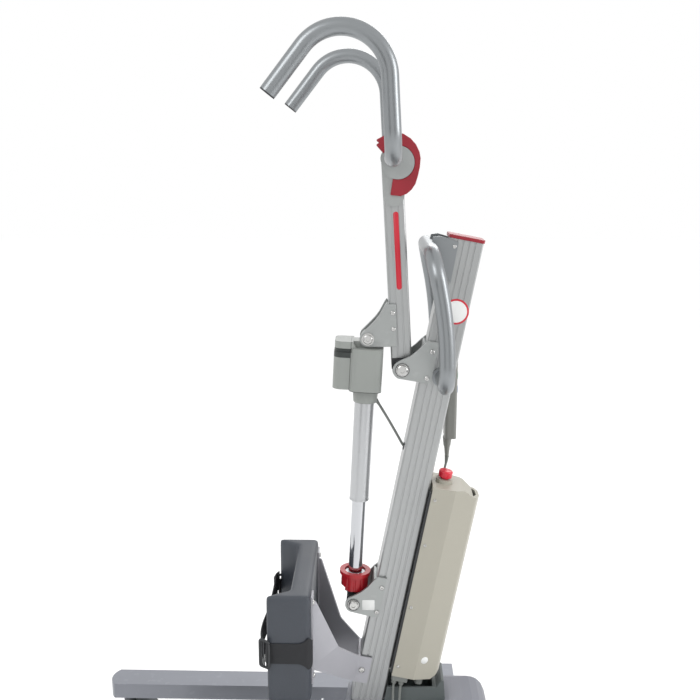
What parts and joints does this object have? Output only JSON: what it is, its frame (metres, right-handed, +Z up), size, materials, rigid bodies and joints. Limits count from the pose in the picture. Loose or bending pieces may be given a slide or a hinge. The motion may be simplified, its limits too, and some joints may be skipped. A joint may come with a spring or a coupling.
{
  "type": "sit to stand lift",
  "caption": "Wheeled lift with spreading legs, leaning aluminium mast, electric ram, lowering boom with hooked arms, push handle, knee pad and foot board.",
  "frame": {"origin": "on the floor, under the middle of the object's box", "axes": "+Z up, -X towards the person being raised, +X towards the carer at the push handle, +Y to the carer's right"},
  "size_m": [0.87, 0.532, 1.5169],
  "materials": {
    "frame_paint": "satin powder coat over steel",
    "dome_plastic": "fine spark-eroded texture",
    "cover_plastic": "fine spark-eroded texture",
    "anodised": "extruded and satin anodised, with drawing lines along it",
    "plate_alu": "bead blasted plate",
    "cap_red": "semi gloss moulding",
    "tube_satin": "satin silver lacquer on bent tube",
    "bolt_steel": "zinc plated, turned",
    "seam_black": "matt black",
    "box_beige": "fine grain moulding",
    "battery": "shrink sleeve",
    "lead_grey": "matt cable sheath",
    "knee_plate": "light grey powder coat",
    "pad_foam": "moulded foam with a leather-like skin",
    "webbing": "woven nylon with moulded buckles",
    "tread_plate": "brushed sheet",
    "mat_rubber": "ribbed",
    "rod_chrome": "hard chromed",
    "collar_red": "semi gloss moulding",
    "case_grey": "fine grain moulding",
    "motor_steel": "turned",
    "tube_alu": "satin anodised tube",
    "stop_red": "gloss moulding",
    "handset_grey": "fine grain moulding",
    "button_green": "matt",
    "button_blue": "matt",
    "yoke_steel": "zinc plated plate",
    "pedal_black": "ribbed rubber tread",
    "castor_grey": "moulded nylon",
    "wheel_grey": "polyurethane tread",
    "brake_red": "moulded nylon"
  },
  "bodies": {
    "root": {"base_frame": "frame_paint", "base_dome": "dome_plastic", "base_cover": "cover_plastic", "mast_profile": "anodised", "mast_cap": "cap_red", "boom_bracket": "plate_alu", "ram_bracket": "plate_alu", "push_handle": "tube_satin", "pivot_bolts": "bolt_steel", "box_back": "seam_black", "box_cover": "box_beige", "box_cap": "box_beige", "battery_pack": "battery", "root_screws": "bolt_steel", "box_plugs": "lead_grey", "box_leads": "lead_grey"},
    "knee_support": {"knee_bracket": "knee_plate", "knee_pad": "pad_foam", "knee_screws": "bolt_steel", "knee_straps": "webbing"},
    "foot_board": {"footplate": "tread_plate", "foot_mat": "mat_rubber"},
    "boom": {"boom_profile": "anodised", "boom_foot": "seam_black", "head_plates": "plate_alu", "lift_bracket": "plate_alu", "lift_studs": "bolt_steel"},
    "arms": {"arm_left": "tube_satin", "arm_right": "tube_satin", "hub_shaft": "bolt_steel", "arm_plugs": "seam_black"},
    "lever": {"lock_lever": "cap_red"},
    "rod": {"ram_rod": "rod_chrome", "rod_end": "seam_black"},
    "collar": {"release_collar": "collar_red"},
    "ram": {"motor_case": "case_grey", "case_cap": "case_grey", "ram_motor": "motor_steel", "ram_tube": "tube_alu", "ram_screw": "motor_steel", "ram_cable": "lead_grey"},
    "stop": {"stop_button": "stop_red"},
    "handset": {"handset_case": "handset_grey", "handset_cord": "lead_grey"},
    "up_key": {"button_up": "button_green"},
    "down_key": {"button_down": "button_blue"},
    "left_leg": {"leg_left": "frame_paint"},
    "right_leg": {"leg_right": "frame_paint"},
    "yoke": {"spread_yoke": "yoke_steel"},
    "pedal": {"spread_pedal": "pedal_black"},
    "castor_rear_left": {"fork_rear_left": "castor_grey"},
    "roll_rear_left": {"wheels_rear_left": "wheel_grey"},
    "brake_rear_left": {"brake_left": "brake_red"},
    "castor_rear_right": {"fork_rear_right": "castor_grey"},
    "roll_rear_right": {"wheels_rear_right": "wheel_grey"},
    "brake_rear_right": {"brake_right": "brake_red"},
    "castor_front_left": {"fork_front_left": "castor_grey"},
    "roll_front_left": {"wheels_front_left": "wheel_grey"},
    "castor_front_right": {"fork_front_right": "castor_grey"},
    "roll_front_right": {"wheels_front_right": "wheel_grey"}
  },
  "joints": [
    {"name": "boom_lower", "type": "hinge", "parent": "root", "child": "boom", "pos_m": [0.21689, 0, 0.92722], "axis": [0, -1, 0], "range_deg": [0, 70]},
    {"name": "rod_swing", "type": "hinge", "parent": "root", "child": "rod", "pos_m": [0.12788, 0, 0.46063], "axis": [0, 1, 0], "range_deg": [-2.2, 0.2]},
    {"name": "ram_extend", "type": "slide", "parent": "rod", "child": "ram", "axis": [0.0491, 0, 0.9988], "range_m": [-0.0975, 0.001], "deforming": ["ram_cable"]},
    {"name": "arm_tilt", "type": "hinge", "parent": "boom", "child": "arms", "pos_m": [0.19468, 0, 1.30656], "axis": [0, -1, 0], "range_deg": [-20, 60]},
    {"name": "lever_pull", "type": "hinge", "parent": "boom", "child": "lever", "pos_m": [0.20513, 0, 1.29916], "axis": [0, -1, 0], "range_deg": [0, 35]},
    {"name": "collar_turn", "type": "hinge", "parent": "rod", "child": "collar", "pos_m": [0.12788, 0, 0.46063], "axis": [0.0491, 0, 0.9988], "range_deg": [0, 90]},
    {"name": "stop_press", "type": "slide", "parent": "root", "child": "stop", "axis": [-0.1874, 0, -0.9823], "range_m": [0, 0.003]},
    {"name": "knee_height", "type": "slide", "parent": "root", "child": "knee_support", "axis": [0.1874, 0, 0.9823], "range_m": [0, 0.06]},
    {"name": "board_lift", "type": "slide", "parent": "root", "child": "foot_board", "axis": [0, 0, 1], "range_m": [0, 0.03]},
    {"name": "handset_lift", "type": "slide", "parent": "root", "child": "handset", "axis": [0, 0, 1], "range_m": [0, 0.035], "deforming": ["handset_cord"]},
    {"name": "key_up", "type": "slide", "parent": "handset", "child": "up_key", "axis": [-1, 0, 0], "range_m": [0, 0.0015], "stiffness_N_per_m": 400, "springref_m": -0.0005},
    {"name": "key_down", "type": "slide", "parent": "handset", "child": "down_key", "axis": [-1, 0, 0], "range_m": [0, 0.0015], "stiffness_N_per_m": 400, "springref_m": -0.0005},
    {"name": "leg_left_spread", "type": "hinge", "parent": "root", "child": "left_leg", "pos_m": [0.245, -0.228, 0.1175], "axis": [0, 0, 1], "range_deg": [0, 12]},
    {"name": "leg_right_spread", "type": "hinge", "parent": "root", "child": "right_leg", "pos_m": [0.245, 0.228, 0.1175], "axis": [0, 0, 1], "range_deg": [-12, 0]},
    {"name": "yoke_slide", "type": "slide", "parent": "root", "child": "yoke", "axis": [-1, 0, 0], "range_m": [0, 0.0145]},
    {"name": "pedal_press", "type": "hinge", "parent": "root", "child": "pedal", "pos_m": [0.368, 0, 0.128], "axis": [0, 1, 0], "range_deg": [0, 20.5]},
    {"name": "swivel_rear_left", "type": "hinge", "parent": "root", "child": "castor_rear_left", "pos_m": [0.33, -0.236, 0.1], "axis": [0, 0, 1], "continuous": true},
    {"name": "spin_rear_left", "type": "hinge", "parent": "castor_rear_left", "child": "roll_rear_left", "pos_m": [0.354, -0.236, 0.04], "axis": [0, 1, 0], "continuous": true},
    {"name": "brake_press_left", "type": "hinge", "parent": "castor_rear_left", "child": "brake_rear_left", "pos_m": [0.405, -0.236, 0.046], "axis": [0, 1, 0], "range_deg": [0, 15]},
    {"name": "swivel_rear_right", "type": "hinge", "parent": "root", "child": "castor_rear_right", "pos_m": [0.33, 0.236, 0.1], "axis": [0, 0, 1], "continuous": true},
    {"name": "spin_rear_right", "type": "hinge", "parent": "castor_rear_right", "child": "roll_rear_right", "pos_m": [0.354, 0.236, 0.04], "axis": [0, 1, 0], "continuous": true},
    {"name": "brake_press_right", "type": "hinge", "parent": "castor_rear_right", "child": "brake_rear_right", "pos_m": [0.405, 0.236, 0.046], "axis": [0, 1, 0], "range_deg": [0, 15]},
    {"name": "swivel_front_left", "type": "hinge", "parent": "left_leg", "child": "castor_front_left", "pos_m": [-0.397, -0.228, 0.1], "axis": [0, 0, 1], "continuous": true},
    {"name": "spin_front_left", "type": "hinge", "parent": "castor_front_left", "child": "roll_front_left", "pos_m": [-0.373, -0.228, 0.0375], "axis": [0, 1, 0], "continuous": true},
    {"name": "swivel_front_right", "type": "hinge", "parent": "right_leg", "child": "castor_front_right", "pos_m": [-0.397, 0.228, 0.1], "axis": [0, 0, 1], "continuous": true},
    {"name": "spin_front_right", "type": "hinge", "parent": "castor_front_right", "child": "roll_front_right", "pos_m": [-0.373, 0.228, 0.0375], "axis": [0, 1, 0], "continuous": true}
  ],
  "couplings": [
    {"joint": "rod_swing", "follows": "boom_lower", "ratio": -0.03},
    {"joint": "ram_extend", "follows": "boom_lower", "m_per_rad": -0.078986},
    {"joint": "leg_right_spread", "follows": "leg_left_spread", "ratio": -1},
    {"joint": "yoke_slide", "follows": "leg_left_spread", "m_per_rad": 0.067323},
    {"joint": "pedal_press", "follows": "leg_left_spread", "ratio": 1.675}
  ]
}
